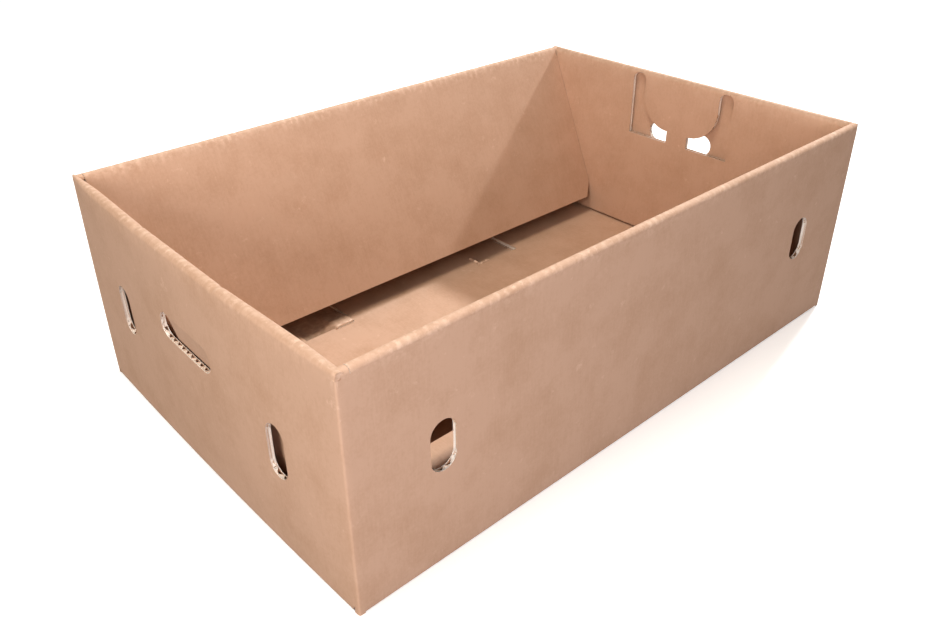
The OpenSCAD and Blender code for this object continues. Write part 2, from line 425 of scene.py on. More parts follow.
def raw_edge(skin, points, edges, kinds, place, windows, thick):
    """Edge of the board along a loop: open where the flutes end in it, crushed shut elsewhere."""
    after = np.roll(points, -1, axis=0)
    for a, b, edge in zip(points, after, edges):
        if kinds[edge] is None:
            continue
        run = b - a
        length = np.linalg.norm(run)
        mid = (a + b) / 2
        seen = any(w[0][0] <= mid[0] <= w[0][1] and w[1][0] <= mid[1] <= w[1][1] for w in windows)
        if abs(run[1]) < ACROSS * length and seen:
            rows = [[(0, 0), (LINER, 0)], [(thick - LINER, 0), (thick, 0)]]
        else:
            rows = [[(thick * part, CRUSH * inset) for part, inset in CRUSHED]]
        inwards = np.array([-run[1], run[0]]) / length
        for row in rows:
            u = np.array([p[0] + inwards[0] * inset for p in (a, b) for _, inset in row])
            v = np.array([p[1] + inwards[1] * inset for p in (a, b) for _, inset in row])
            depth = np.array([d for d, _ in row] * 2)
            n = len(row)
            skin.add(
                place(u, v, depth),
                [(i, i + 1, n + i + 1, n + i) for i in range(n - 1)],
                kinds[edge], np.c_[u, v], EDGE_WEAR * (kinds[edge] == PAPER),
            )


def strip_faces(rows, count):
    """Quads between neighbouring rows of points, with count points in each row."""
    return [
        (r * count + i, r * count + i + 1, (r + 1) * count + i + 1, (r + 1) * count + i)
        for r in range(rows - 1) for i in range(count - 1)
    ]


def panel(skin, outline, holes, place, grid, cuts, windows=(), thick=BOARD, wear_and_highlight=None):
    """A panel of board: two liners with real thickness, the flutes in its windows and its raw edges.

    place(u, v, depth) gives points in the row frame, v along the flutes and depth from the outer face.
    """
    loops = [turned(outline, False)] + [turned(h, True) for h in holes]
    assert np.allclose(loops[0][0], outline[0])
    parted = [split_loop(loop, grid[0]) for loop in loops]
    loops = [points for points, _ in parted]
    lattice = np.concatenate([
        np.stack(np.meshgrid(us, vs), axis=-1).reshape(-1, 2) for us, vs in grid
    ])
    flat, faces = triangles(loops, lattice)
    u, v = flat.T
    worn_and_lit = wear_and_highlight(u, v) if wear_and_highlight else 0.0
    for depth, out, look in (
        (0, True, PAPER), (LINER, False, CORE), (thick - LINER, True, CORE), (thick, False, PAPER)
    ):
        points = place(u, v, np.full(len(u), depth))
        skin.add(points, faces if out else faces[:, ::-1], look, flat, worn_and_lit if look == PAPER else 0.0)
    for i, (points, edges) in enumerate(parted):
        kinds = cuts if i == 0 else [CUT] * (max(edges) + 1)
        raw_edge(skin, points, edges, kinds, place, windows, thick)
    for window in windows:
        flutes(skin, loops, place, window)


def folded(v, depth, reach, bend):
    """Distance from the middle and height of a wall and of the base flap that it folds into.

    v is the height up the wall; below BEND_R it runs round the foot and along the base.
    """
    s = BEND_R - v
    c, w = bent(np.clip(s, 0, FOOT_ARC) / BEND_R, depth)
    out = np.where(s <= 0, reach - depth, bend + (BEND_R - depth) * c - np.maximum(s - FOOT_ARC, 0))
    up = np.where(s <= 0, v, BEND_R - (BEND_R - depth) * w)
    return out, np.where(s > FOOT_ARC, depth, up)


def bent(turn, depth):
    """Cosine and sine of a fold that is sharper outside than a plain arc."""
    power = 2 / (2 + SHARP * np.clip(1 - depth / BOARD, 0, 1))
    c, s = np.cos(turn), np.sin(turn)
    return np.sign(c) * np.abs(c) ** power, np.sign(s) * np.abs(s) ** power


def base_v(reach_in):
    """Developed height of a point of the base, from its distance inside the foot's bend."""
    return BEND_R - FOOT_ARC - reach_in


def ply_v(z):
    """Developed height of a point of the inner ply or of the roll's inner half."""
    z = np.asarray(z, float)
    over = np.clip((z - ROLL_Z) / ROLL_R, 0, 1)
    return np.where(z < ROLL_Z, ROLL_END + ROLL_Z - z, ROLL_END - ROLL_R * np.arcsin(over))


def ripple(along):
    """Small dents of a rolled rim: the flutes' print and slow waves, from 0 to 1."""
    slow = np.sin(along * DENT_WAVES[0]) * np.sin(along * DENT_WAVES[1] + 1)
    print_share = DENT_PRINT * (0.6 + 0.4 * slow)
    return print_share * (1 - np.cos(TAU * along / PITCH)) + DENT_SLOW * (1 + slow)


def near_corner(along):
    """0 along most of an end wall, rising to 1 at its corners."""
    return np.clip((np.abs(along) - HALF_W + PINCH) / PINCH, 0, 1)


def end_place(side):
    """Places the developed end panel: base flap, foot, outer wall, roll and inner ply."""
    def place(u, v, depth):
        x, z = folded(v, depth, HALF_L, BEND_X)
        turn = np.clip((v - ROLL_Z) / ROLL_R, 0, math.pi)
        r = ROLL_R - depth - RIM_DENT * ripple(u) * np.sin(turn)
        pinch = near_corner(u) ** 2
        power = np.where(turn < math.pi / 2, ROLL_POWER - ROLL_PINCH * pinch * (1 - depth / BOARD), 1.0)
        c, s = np.cos(turn), np.maximum(np.sin(turn), 0)
        glued = (side > 0) & (u > 0)
        past = np.where(glued, 0, np.clip((np.abs(u) - BEND_Y) / BEND_R, 0, 1))
        outer = BEND_X + BEND_R * (1 - past ** (2 + SHARP)) ** (1 / (2 + SHARP))
        rolled = v > ROLL_Z
        inner = END_IN + ROLL_NARROW * pinch * s ** NARROW_POWER
        wide = (outer - inner) / (2 * ROLL_R)
        x = np.where(rolled, (outer + inner) / 2 + wide * r * np.sign(c) * np.abs(c) ** power, x)
        z = np.where(rolled, ROLL_Z + r * s ** power - np.maximum(v - ROLL_END, 0), z)
        return np.c_[side * x, side * u, z]
    return place


def long_place(side, lift):
    """Places the developed long panel: base flap, foot and wall, up to the flap's fold."""
    top = HINGE_Z - WALL_BLEND

    def place(u, v, depth):
        y, z = folded(v, depth, HALF_W, BEND_Y)
        limit = HINGE_Z - np.sqrt(np.maximum(BOARD ** 2 - (BOARD - depth) ** 2, 0))
        z = np.where(v > top, top + (v - top) * (limit - top) / (HINGE_Z - top), z)
        z = z + np.where(v < 0, lift(side * y), 0)
        return np.c_[-side * u, side * y, z]
    return place


def hand_slot(s):
    """One of the two slots that free the hand tongue, as a loop of the developed end panel."""
    r = SLOT_W / 2
    outer = TONGUE_HALF + SLOT_W
    legs = np.concatenate([
        [(outer, SLOT_Z)],
        arc((outer - r, SLOT_TOP - r), r, 0, 180, ARC_POINTS),
        arc((TONGUE_HALF - TONGUE_R, TONGUE_Z + TONGUE_R), TONGUE_R, 0, -89, TONGUE_POINTS),
        [(BRIDGE_HALF, TONGUE_Z), (BRIDGE_HALF, SLOT_Z)],
    ])
    return np.c_[s * legs[:, 0], ply_v(legs[:, 1])]


def end_panel(skin, side):
    """End wall with its foot, base flap, rolled rim and inner ply."""
    base_tip = base_v(BEND_X - NARROW_X - EDGE_GAP)
    base_root = base_v(0)
    slant = (MITRE_Y - EDGE_GAP, MITRE_Y - EDGE_GAP - (BEND_X - NARROW_X - EDGE_GAP))
    near, far = (LOWER_FRONT, slant) if side > 0 else (-LOWER_FRONT, tuple(-y for y in slant))
    back_edge = HALF_W if side > 0 else BEND_Y
    ply_end = float(ply_v(BASE_TOP + PLY_LIFT))
    if side > 0:
        flap = [(near, base_tip), (far[1], base_tip), (far[0], base_root)]
        last = (near, base_root)
    else:
        flap = [(far[1], base_tip), (near, base_tip), (near, base_root)]
        last = (far[0], base_root)
    outline = flap + [
        (FOOT_HALF, base_root), (FOOT_HALF, BEND_R), (back_edge, BEND_R), (back_edge, ROLL_Z),
        (RIM_HALF, ROLL_Z), (RIM_HALF, ROLL_END), (PLY_HALF, ROLL_END), (PLY_HALF, ply_end),
        (-PLY_HALF, ply_end), (-PLY_HALF, ROLL_END), (-RIM_HALF, ROLL_END), (-RIM_HALF, ROLL_Z),
        (-BEND_Y, ROLL_Z), (-BEND_Y, BEND_R), (-FOOT_HALF, BEND_R), (-FOOT_HALF, base_root),
        last,
    ]
    joins = ((-BEND_Y, ROLL_Z), (BEND_Y, BEND_R))
    papered = ((RIM_HALF, ROLL_Z), (-RIM_HALF, ROLL_END), (-RIM_HALF, ROLL_Z), (BEND_Y, ROLL_Z))
    cuts = [CUT] * len(outline)
    for i, corner in enumerate(outline):
        if corner in joins:
            cuts[i] = None
        elif corner in papered:
            cuts[i] = PAPER
    hand = obround((0, HAND_Z), HAND_HALF_L, HAND_HALF_H)
    vents = [obround((s * END_VENT_Y, END_VENT_Z), *END_VENT) for s in (-1, 1)]
    slots = [hand_slot(s) for s in (-1, 1)]
    us = spread(-PLY_HALF, PLY_HALF, STEP)
    roll = spread(ROLL_Z, ROLL_END, ROLL_STEP)
    flat = joined(
        spread(base_tip, base_root, STEP), spread(base_root, BEND_R, FOOT_STEP),
        spread(BEND_R, ROLL_Z, STEP), spread(ROLL_END, ply_end, STEP),
    )
    slot_v, tongue_v = float(ply_v(SLOT_Z)), float(ply_v(TONGUE_Z))
    windows = [
        around((0, HAND_Z), HAND_HALF_L, HAND_HALF_H),
        *[around((s * END_VENT_Y, END_VENT_Z), *END_VENT) for s in (-1, 1)],
        ((-TONGUE_HALF - SLOT_W, TONGUE_HALF + SLOT_W), (slot_v, slot_v + FLUTE_REACH)),
        ((-TONGUE_HALF, TONGUE_HALF), (float(ply_v(TONGUE_Z + TONGUE_R)), tongue_v)),
    ]
    panel(
        skin, outline, [hand, *vents, *slots], end_place(side),
        [(us, joined(flat, roll)), (spread(-RIM_HALF, RIM_HALF, RIM_STEP), roll[1:-1])],
        # Pale wear and painted highlight along the rolled rim.
        cuts, windows, wear_and_highlight=lambda u, v: rim_wear_and_highlight(np.abs(v - (ROLL_Z + ROLL_END) / 2), u),
    )
    for s in (-1, 1):
        v = np.append(roll, ROLL_Z)
        u = np.full(len(v), s * RIM_HALF)
        ring = end_place(side)(u, v, np.zeros(len(v)))
        ring[-1] = (ring[0] + ring[-2]) / 2
        fan = [(i, i + 1, len(roll)) for i in range(len(roll) - 1)]
        skin.add(ring, fan if s > 0 else [f[::-1] for f in fan], PAPER, np.c_[u, v], CAP_WEAR)


def around(middle, half_w, half_h):
    """Window round a cut-out, a flute's reach wider on each side."""
    return (
        (middle[0] - half_w - FLUTE_REACH, middle[0] + half_w + FLUTE_REACH),
        (middle[1] - half_h - FLUTE_REACH, middle[1] + half_h + FLUTE_REACH),
    )


def rim_wear_and_highlight(distance, along):
    """How pale the paper is at a rolled rim, from wear and a painted highlight, which fades away from the
    fold.
    """
    fade = np.clip(1 - distance / WEAR_HIGHLIGHT_FADE, 0, 1)
    slow = np.sin(along * WEAR_HIGHLIGHT_WAVES[0]) * np.sin(along * WEAR_HIGHLIGHT_WAVES[1])
    return fade * (WEAR_HIGHLIGHT_EVEN + WEAR_HIGHLIGHT_PRINT * np.sin(TAU * along / PITCH) * (1 + slow) + WEAR_HIGHLIGHT_SLOW * slow)


def hand_flap(skin):
    """Cut-out of the left hand hole, which still hangs from its top, pushed in and bent at one end."""
    place_end = end_place(-1)
    top, low = HAND_Z + HAND_HALF_H, HAND_Z - HAND_HALF_H

    def place(u, v, depth):
        drop = (top - v) / (top - low)
        bend = np.clip((u - HAND_FLAP_END + HAND_CURL_SHIFT) / -HAND_CURL_L + 1, 0, 1)
        push = HAND_PUSH * drop + HAND_CURL * bend ** 2 * np.sqrt(np.maximum(drop, 0))
        return place_end(u, v, depth + push)

    r = HAND_HALF_H - HAND_FLAP_GAP
    outline = np.concatenate([
        [(HAND_FLAP_END, low + HAND_FLAP_GAP)],
        arc((HAND_HALF_L - HAND_HALF_H, HAND_Z), r, -90, 90, ARC_POINTS),
        [(HAND_HALF_L - HAND_HALF_H, top), (HAND_FLAP_END, top)],
    ])
    cuts = [CUT] * len(outline)
    cuts[-2] = None
    window = ((HAND_FLAP_END, HAND_HALF_L), (low, low + FLUTE_REACH / 2))
    grid = [(spread(HAND_FLAP_END, HAND_HALF_L, FINE_STEP), spread(low, top, MID_STEP))]
    panel(skin, outline, [], place, grid, cuts, [window])


def long_panel(skin, side):
    """Long wall with its foot and base flap: the stepped upper one in front, the locking one behind."""
    front = side < 0
    root = base_v(0)

    def at(y):
        return base_v(BEND_Y - side * y)

    if front:
        rear, notch = at(UPPER_REAR), at(NOTCH_Y)
        low = [(-BASE_HALF, rear)]
        for s in (-1, 1):
            a, b = s * LOCK_X - NOTCH_HALF, s * LOCK_X + NOTCH_HALF
            low += [(a, rear), (a, notch), (b, notch), (b, rear)]
        low += [(BASE_HALF, rear)]
        holes = []
        windows = [((-BASE_HALF, BASE_HALF), (rear, rear + FLUTE_REACH))]
        windows += [
            ((s * LOCK_X - NOTCH_HALF, s * LOCK_X + NOTCH_HALF), (notch, notch + FLUTE_REACH))
            for s in (-1, 1)
        ]
    else:
        narrow = MITRE_Y - (BASE_HALF - NARROW_X)
        low = [(-BASE_HALF, at(MITRE_Y)), (-NARROW_X, at(narrow)), (-NARROW_X, at(LOWER_FRONT))]
        low += [(-u, v) for u, v in low[::-1]]
        rear = at(LOWER_FRONT)
        tip, slit_tip, lock_v = at(LOCK_ROOT - LOCK_L), at(LOCK_ROOT - LOCK_L - SLIT), at(LOCK_ROOT)
        a, b = LOCK_HALF, LOCK_HALF + SLIT
        edge = [(-b, lock_v), (-b, slit_tip), (b, slit_tip), (b, lock_v)]
        slit = edge + [(a, lock_v), (a, tip), (-a, tip), (-a, lock_v)]
        holes = [[(LOCK_X + u, v) for u, v in edge], [(u - LOCK_X, v) for u, v in slit]]
        windows = []
    end = BEND_X if front else GLUED_X
    outline = low + [
        (BASE_HALF, root), (BEND_X, root), (BEND_X, HINGE_Z),
        (-end, HINGE_Z), (-end, root), (-BASE_HALF, root),
    ]
    cuts = [CUT] * len(outline)
    first = len(low)
    for i in (first + 1, first + 2, first + 3):
        cuts[i] = None
    holes += [obround((s * LONG_VENT_X, LONG_VENT_Z), *LONG_VENT) for s in (-1, 1)]
    windows += [around((s * LONG_VENT_X, LONG_VENT_Z), *LONG_VENT) for s in (-1, 1)]
    step = [at(STEP_Y1), at(STEP_Y0)] if front else [root - STEP]
    runs = [rear, *step, root]
    vs = [spread(a, b, STEP) for a, b in zip(runs[:-1], runs[1:])]
    vs += [spread(root, BEND_R, FOOT_STEP), spread(BEND_R, HINGE_Z, STEP)]

    def lift(y):
        return UPPER_RISE * np.clip((y - STEP_Y0) / (STEP_Y1 - STEP_Y0), 0, 1) if front else 0 * y

    panel(
        skin, outline, holes, long_place(side, lift),
        [(spread(-BEND_X, BEND_X, STEP), joined(*vs))], cuts, windows,
        # Pale wear and painted highlight along the rim's fold.
        wear_and_highlight=lambda u, v: rim_wear_and_highlight(np.abs(v - HINGE_Z - BOARD), u),
    )


def corner_panel(skin, middle, start):
    """Folded corner between two walls, sharper outside than a plain arc."""
    def place(u, v, depth):
        c, s = bent(math.radians(start) + u / BEND_R, depth)
        r = BEND_R - depth
        return np.c_[middle[0] + r * c, middle[1] + r * s, v]

    outline = [(0, 0), (FOOT_ARC, 0), (FOOT_ARC, ROLL_Z), (0, ROLL_Z)]
    panel(
        skin, outline, [], place, [(spread(0, FOOT_ARC, FOOT_ARC / 12), spread(0, ROLL_Z, STEP))],
        [CUT, None, PAPER, None],
    )


def glued_lap(skin):
    """Crushed fold and lap at the back right corner, glued inside the right end wall."""
    top = ROLL_Z - FOLD_R

    def place(u, v, depth):
        turn = np.clip(u, 0, FOOT_ARC) / BEND_R
        x = GLUED_X + (BEND_R - depth) * np.cos(turn)
        y = BEND_Y + (BEND_R - depth) * np.sin(turn) + np.minimum(u, 0)
        return np.c_[x, y, v]

    outline = [
        (0, 0), (FOOT_ARC, 0), (FOOT_ARC, top), (0, top),
        (-LAP_L, top - LAP_TAPER), (-LAP_L, BEND_R + LAP_TAPER), (0, BEND_R),
    ]
    us = joined(spread(-LAP_L, 0, STEP), spread(0, FOOT_ARC, FOOT_ARC / 8))
    panel(skin, outline, [], place, [(us, spread(0, top, STEP))], [CUT, None] + [CUT] * 5, thick=LAP_T)


def raised_tongue(skin):
    """Locking tongue of the left notch: its right side stands up, its left side is tucked in."""
    def place(u, v, depth):
        lift = np.clip((u + TWIST_START * LOCK_HALF) / (TWIST_RUN * LOCK_HALF), 0, 1)
        tilt = LOCK_TILT * lift * lift * (3 - 2 * lift)
        thin = 1 - TIP_THIN * np.clip((v - LOCK_L) / TIP_L + 1, 0, 1)
        up = depth * thin
        y = LOCK_ROOT - v * np.cos(tilt) + up * np.sin(tilt)
        return np.c_[u - LOCK_X, y, v * np.sin(tilt) + up * np.cos(tilt)]

    outline = [(-LOCK_HALF, 0), (LOCK_HALF, 0), (LOCK_HALF, LOCK_L), (-LOCK_HALF, LOCK_L)]
    vs = joined(spread(0, LOCK_L, STEP / 2), [LOCK_L - 2 * FINE_STEP, LOCK_L - FINE_STEP])
    grid = [(spread(-LOCK_HALF, LOCK_HALF, FINE_STEP), vs)]
    panel(
        skin, outline, [], place, grid, [None, CUT, CUT, CUT],
        # Painted highlight: the tongue's top face is paled where it tilts towards the light, and its tip
        # edge more strongly.
        wear_and_highlight=lambda u, v: np.where(v > LOCK_L - TIP_HIGHLIGHT_L, TIP_HIGHLIGHT, TONGUE_HIGHLIGHT),
    )


def torn_liner(skin, middle, turn, length, width, rise):
    """Strip of torn paper that stands off the board, jagged along its free edge."""
    along = spread(0, length, TEAR_STEP)
    coarse, slow, fine = JAG_WAVES
    jag = 0.55 + 0.3 * np.sin(along * coarse) * np.sin(along * slow + 1) + 0.15 * np.sin(along * fine)
    fade = np.sin(math.pi * along / length) ** 0.5
    reach = width * jag * fade
    c, s = math.cos(turn), math.sin(turn)
    rows = []
    for part in (0.0, 0.5, 1.0):
        side = reach * part
        up = rise * part ** 1.5 * (0.6 + 0.4 * np.sin(along * CURL_WAVE))
        rows.append(np.c_[
            middle[0] + along * c - side * s, middle[1] + along * s + side * c, middle[2] + up
        ])
    top = np.concatenate(rows)
    faces = strip_faces(len(rows), len(along))
    under = top - np.array([0, 0, LINER])
    skin.add(top, faces, PAPER, top[:, :2], TORN_WEAR[0])
    skin.add(under, [f[::-1] for f in faces], PAPER, top[:, :2], TORN_WEAR[1])


def hanging_flap(skin, side):
    """Free flap of a long wall: the round fold and the panel that leans inwards."""
    def hang(u, y, z):
        """From the fold's axis to the row frame; y is out of the box and z up before the flap leans."""
        leant_y = y * math.cos(FLAP_LEAN) + z * math.sin(FLAP_LEAN)
        leant_z = -y * math.sin(FLAP_LEAN) + z * math.cos(FLAP_LEAN)
        return np.c_[side * u, side * (HINGE_Y + leant_y), HINGE_Z + leant_z]

    def place(u, v, depth):
        return hang(u, depth - BOARD, v)

    outline = [
        (CHAMFER_W - FLAP_HALF, -FLAP_L), (FLAP_HALF - CHAMFER_W, -FLAP_L), (FLAP_HALF, CHAMFER_H - FLAP_L),
        (FLAP_HALF, -BEAD_MARGIN), (-FLAP_HALF, -BEAD_MARGIN), (-FLAP_HALF, CHAMFER_H - FLAP_L),
    ]
    grid = [(spread(-FLAP_HALF, FLAP_HALF, STEP), spread(-FLAP_L, -BEAD_MARGIN, STEP))]
    window = ((-FLAP_HALF, FLAP_HALF), (-FLAP_L, FLUTE_REACH - FLAP_L))
    panel(
        skin, outline, [], place, grid, [CUT, CUT, CUT, None, CUT, CUT], [window],
        # Pale wear and painted highlight towards the flap's round fold.
        wear_and_highlight=lambda u, v: rim_wear_and_highlight(-v, u),
    )
    us = spread(-FLAP_HALF, FLAP_HALF, RIM_STEP)
    turns = np.radians(spread(*BEAD_ARC))
    rows = [(-BOARD, -BEAD_MARGIN), (-BOARD, -BEAD_MARGIN / 2)]
    rows += [(BOARD * math.cos(t), BOARD * math.sin(t)) for t in turns]
    points, coords = [], []
    for y, z in rows:
        over = np.clip(z / BOARD, 0, 1)
        shrink = 1 - BEAD_DENT * ripple(us) * over / BOARD
        points.append(hang(us, y * shrink, z * np.where(z > 0, shrink, 1)))
        coords.append(np.c_[us, np.full(len(us), z)])
    flat = np.concatenate(coords)
    # Pale wear and painted highlight along the bead.
    worn_and_lit = rim_wear_and_highlight(-np.minimum(flat[:, 1], 0), flat[:, 0])
    skin.add(np.concatenate(points), strip_faces(len(rows), len(us)), PAPER, flat, worn_and_lit)
    for s in (-1, 1):
        y, z = np.array(rows[1:]).T
        end = hang(np.full(len(y), s * FLAP_HALF), y, z)
        fan = [(i, i + 1, len(y)) for i in range(len(y) - 1)]
        if s > 0:
            fan = [f[::-1] for f in fan]
        middle = hang(np.array([s * FLAP_HALF]), np.zeros(1), np.zeros(1))
        skin.add(np.vstack([end, middle]), fan, CUT, np.zeros((len(y) + 1, 2)))


def rim_stub(skin, side, end):
    """Short fixed end of a long wall's rim, between its flap's fold and the rolled rim."""
    xs = np.array([FLAP_HALF + STUB_GAP, (FLAP_HALF + BEND_X) / 2, BEND_X + STUB_PAST])
    turns = np.radians(spread(*STUB_ARC))
    n = len(turns)
    y = side * (HINGE_Y + BOARD * np.cos(turns))
    z = HINGE_Z + BOARD * np.sin(turns)
    points = np.concatenate([np.c_[np.full(n, end * x), y, z] for x in xs])
    faces = strip_faces(len(xs), n)
    faces += [tuple(range(n - 1, -1, -1))]
    if side * end < 0:
        faces = [f[::-1] for f in faces]
    skin.add(points, faces, PAPER, np.c_[points[:, 0], points[:, 2]], STUB_WEAR)


def bow(points):
    """The left end wall stands out and sags, its rim is kinked, and three upper corners are pinched."""
    x, y, z = points.T
    share = y / HALF_W
    arch = np.clip(1 - share ** 2, 0, None)
    low = BOW_LOW * arch
    mid = BOW_MID * arch * (1 - BOW_SKEW * share)
    top = np.interp(y, KINK_Y, KINK_OUT)
    t = np.clip(z / ROLL_Z, 0, 1)
    wall = low * (t - BOW_AT) * (t - 1) / BOW_AT - mid * t * (t - 1) / (BOW_AT * (1 - BOW_AT))
    wall += top * t * (t - BOW_AT) / (1 - BOW_AT)
    ply = top * np.clip((t - PLY_FROM) / (1 - PLY_FROM), 0, 1) ** 2
    outside = (x < -HALF_L + BOARD + PLY_GAP / 2) | (z > ROLL_Z)
    near = np.clip((BOW_REACH - HALF_L - x) / BOW_FADE, 0, 1)
    moved = points.copy()
    moved[:, 0] -= np.where(outside, wall, ply) * near
    nick = sum(np.exp(-((y - at) / NICK_L) ** 2) for at in KINK_Y[1:3])
    moved[:, 2] -= (np.interp(y, KINK_Y, KINK_DROP) + NICK * nick) * t ** 4 * near
    moved[:, 2] -= SAG * 4 * t * (1 - t) * np.sqrt(arch) * near
    corner = near_corner(y) ** 2 * ((x > 0) | (y > 0))
    outer = np.clip((np.abs(x) - BEND_X) / BEND_R, 0, 1)
    moved[:, 0] -= np.sign(x) * PINCH_IN * corner * outer * t ** 1.5
    return moved


def node_tree(name):
    """A new material, its nodes and a function that adds a node."""
    material = bpy.data.materials.new(name)
    material.use_nodes = True
    nodes, links = material.node_tree.nodes, material.node_tree.links
    shader = nodes["Principled BSDF"]

    def add(kind, **values):
        made = nodes.new(kind)
        for key, value in values.items():
            if hasattr(made, key):
                setattr(made, key, value)
            else:
                made.inputs[key].default_value = value
        return made

    return material, shader, add, links


def linear(r, g, b):
    """Colour from 8-bit sRGB."""
    return tuple(((c / 255 + 0.055) / 1.055) ** 2.4 for c in (r, g, b)) + (1.0,)


# Paper: finish, then scale, detail and roughness of each noise
PAPER_ROUGH = 0.82
PAPER_SPECULAR = 0.25
CLOUD = (22.0, 6.0, 0.62)
SPECK = (420.0, 3.0, 0.6)
FIBRE = (1.0, 4.0, 0.6)
FIBRE_STRETCH = (700.0, 60.0, 1.0)
FLECK = (75.0, 5.0, 0.75)
PATCH = (190.0, 4.0, 0.65)
# Shares of specks and fibres in the tone, and the tone at which each colour is reached
SPECK_SHARE = 0.45
FIBRE_SHARE = 0.35
TONE_DARK = 0.55
TONE_LIGHT = 1.0
# Scuffs anywhere, and the rubbing and painted highlight of the folds: where the noise starts and is full,
# and their strength
SCUFF = (0.63, 0.76, 0.5)
RUBBED_AND_HIGHLIT = (0.42, 0.6, 1.4)


def paper(name, dark, light, pale, flute_bump, grain_bump):
    """Kraft paper: cloudy tone, fibres along the flutes, the flutes' faint print, and pale worn folds that
    also carry a painted highlight.
    """
    material, shader, add, links = node_tree(name)

    def noise(source, values):
        scale, detail, roughness = values
        made = add("ShaderNodeTexNoise", Scale=scale, Detail=detail, Roughness=roughness)
        links.new(source, made.inputs["Vector"])
        return made.outputs["Fac"]

    def raised_by(base, share, value):
        made = add("ShaderNodeMath", operation="MULTIPLY_ADD")
        made.inputs[1].default_value = share
        links.new(value, made.inputs[0])
        links.new(base, made.inputs[2])
        return made.outputs["Value"]

    def ranged(value, values):
        made = add("ShaderNodeMapRange")
        for socket, number in zip(("From Min", "From Max", "To Max"), values):
            made.inputs[socket].default_value = number
        links.new(value, made.inputs["Value"])
        return made.outputs["Result"]

    shader.inputs["Roughness"].default_value = PAPER_ROUGH
    shader.inputs["Specular IOR Level"].default_value = PAPER_SPECULAR
    place = add("ShaderNodeTexCoord").outputs["Object"]
    board = add("ShaderNodeUVMap", uv_map="board").outputs["UV"]
    stretch = add("ShaderNodeMapping", Scale=FIBRE_STRETCH)
    links.new(board, stretch.inputs["Vector"])
    grained = raised_by(noise(place, CLOUD), SPECK_SHARE, noise(place, SPECK))
    tone = raised_by(grained, FIBRE_SHARE, noise(stretch.outputs["Vector"], FIBRE))
    ramp = add("ShaderNodeValToRGB")
    for stop, position, colour in zip(ramp.color_ramp.elements, (TONE_DARK, TONE_LIGHT), (dark, light)):
        stop.position = position
        stop.color = colour
    links.new(tone, ramp.inputs["Fac"])
    # Pale wear and painted highlight, from the mesh's per-point attribute, mix the paper towards its pale
    # colour.
    worn_and_lit = add("ShaderNodeAttribute", attribute_name="wear_and_highlight")
    marks = add("ShaderNodeMath", operation="MULTIPLY_ADD", use_clamp=True)
    links.new(worn_and_lit.outputs["Fac"], marks.inputs[0])
    links.new(ranged(noise(place, PATCH), RUBBED_AND_HIGHLIT), marks.inputs[1])
    links.new(ranged(noise(place, FLECK), SCUFF), marks.inputs[2])
    mix = add("ShaderNodeMix", data_type="RGBA")
    mix.inputs[7].default_value = pale
    links.new(marks.outputs["Value"], mix.inputs[0])
    links.new(ramp.outputs["Color"], mix.inputs[6])
    links.new(mix.outputs[2], shader.inputs["Base Color"])
    part = add("ShaderNodeSeparateXYZ")
    links.new(board, part.inputs["Vector"])
    phase = add("ShaderNodeMath", operation="MULTIPLY")
    phase.inputs[1].default_value = TAU / PITCH
    links.new(part.outputs["X"], phase.inputs[0])
    crest = add("ShaderNodeMath", operation="SINE")
    links.new(phase.outputs["Value"], crest.inputs[0])
    printed = add("ShaderNodeBump", Strength=1.0, Distance=flute_bump)
    links.new(crest.outputs["Value"], printed.inputs["Height"])
    grain = add("ShaderNodeBump", Strength=1.0, Distance=grain_bump)
    links.new(grained, grain.inputs["Height"])
    links.new(printed.outputs["Normal"], grain.inputs["Normal"])
    links.new(grain.outputs["Normal"], shader.inputs["Normal"])
    return material


# Colours of the paper, of raw edges and of the fluted middle, and the depths of their bumps
KRAFT_DARK = linear(188, 150, 123)
KRAFT_LIGHT = linear(203, 166, 141)
# Pale colour of worn folds, which also paints the highlight on the rims and on the raised tongue.
KRAFT_WORN_AND_HIGHLIT = linear(232, 200, 176)
EDGE_DARK = linear(225, 208, 192)
EDGE_LIGHT = linear(248, 240, 230)
CORE_DARK = linear(176, 136, 106)
CORE_LIGHT = linear(206, 168, 138)
FLUTE_BUMP = 0.013 * MM
PAPER_BUMP = 0.1 * MM
EDGE_BUMP = 0.15 * MM
kraft = paper("kraft_paper", KRAFT_DARK, KRAFT_LIGHT, KRAFT_WORN_AND_HIGHLIT, FLUTE_BUMP, PAPER_BUMP)
raw = paper("raw_edge", EDGE_DARK, EDGE_LIGHT, EDGE_LIGHT, 0.0, EDGE_BUMP)
core = paper("fluted_core", CORE_DARK, CORE_LIGHT, KRAFT_LIGHT, 0.0, PAPER_BUMP)
LOOKS = (kraft, raw, core)

# The tray, one sheet
tray_skin = Skin()
for side in (-1, 1):
    end_panel(tray_skin, side)
    long_panel(tray_skin, side)
    for end in (-1, 1):
        rim_stub(tray_skin, side, end)
for middle, start in (((-BEND_X, -BEND_Y), 180), ((BEND_X, -BEND_Y), 270), ((-BEND_X, BEND_Y), 90)):
    corner_panel(tray_skin, middle, start)
glued_lap(tray_skin)
hand_flap(tray_skin)
raised_tongue(tray_skin)
for at, turn, length, width, rise in TORN:
    torn_liner(tray_skin, (*at, BASE_TOP + LINER), math.radians(turn), length, width, rise)
tray_sheet = tray_skin.build("tray_sheet", LOOKS, bow)
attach(tray_sheet, "tray")
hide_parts("tray")

# The two free flaps
for name, side in (("back_flap", 1), ("front_flap", -1)):
    flap_skin = Skin()
    hanging_flap(flap_skin, side)
    flap_sheet = flap_skin.build(name + "_sheet", LOOKS)
    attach(flap_sheet, name)
    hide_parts(name)


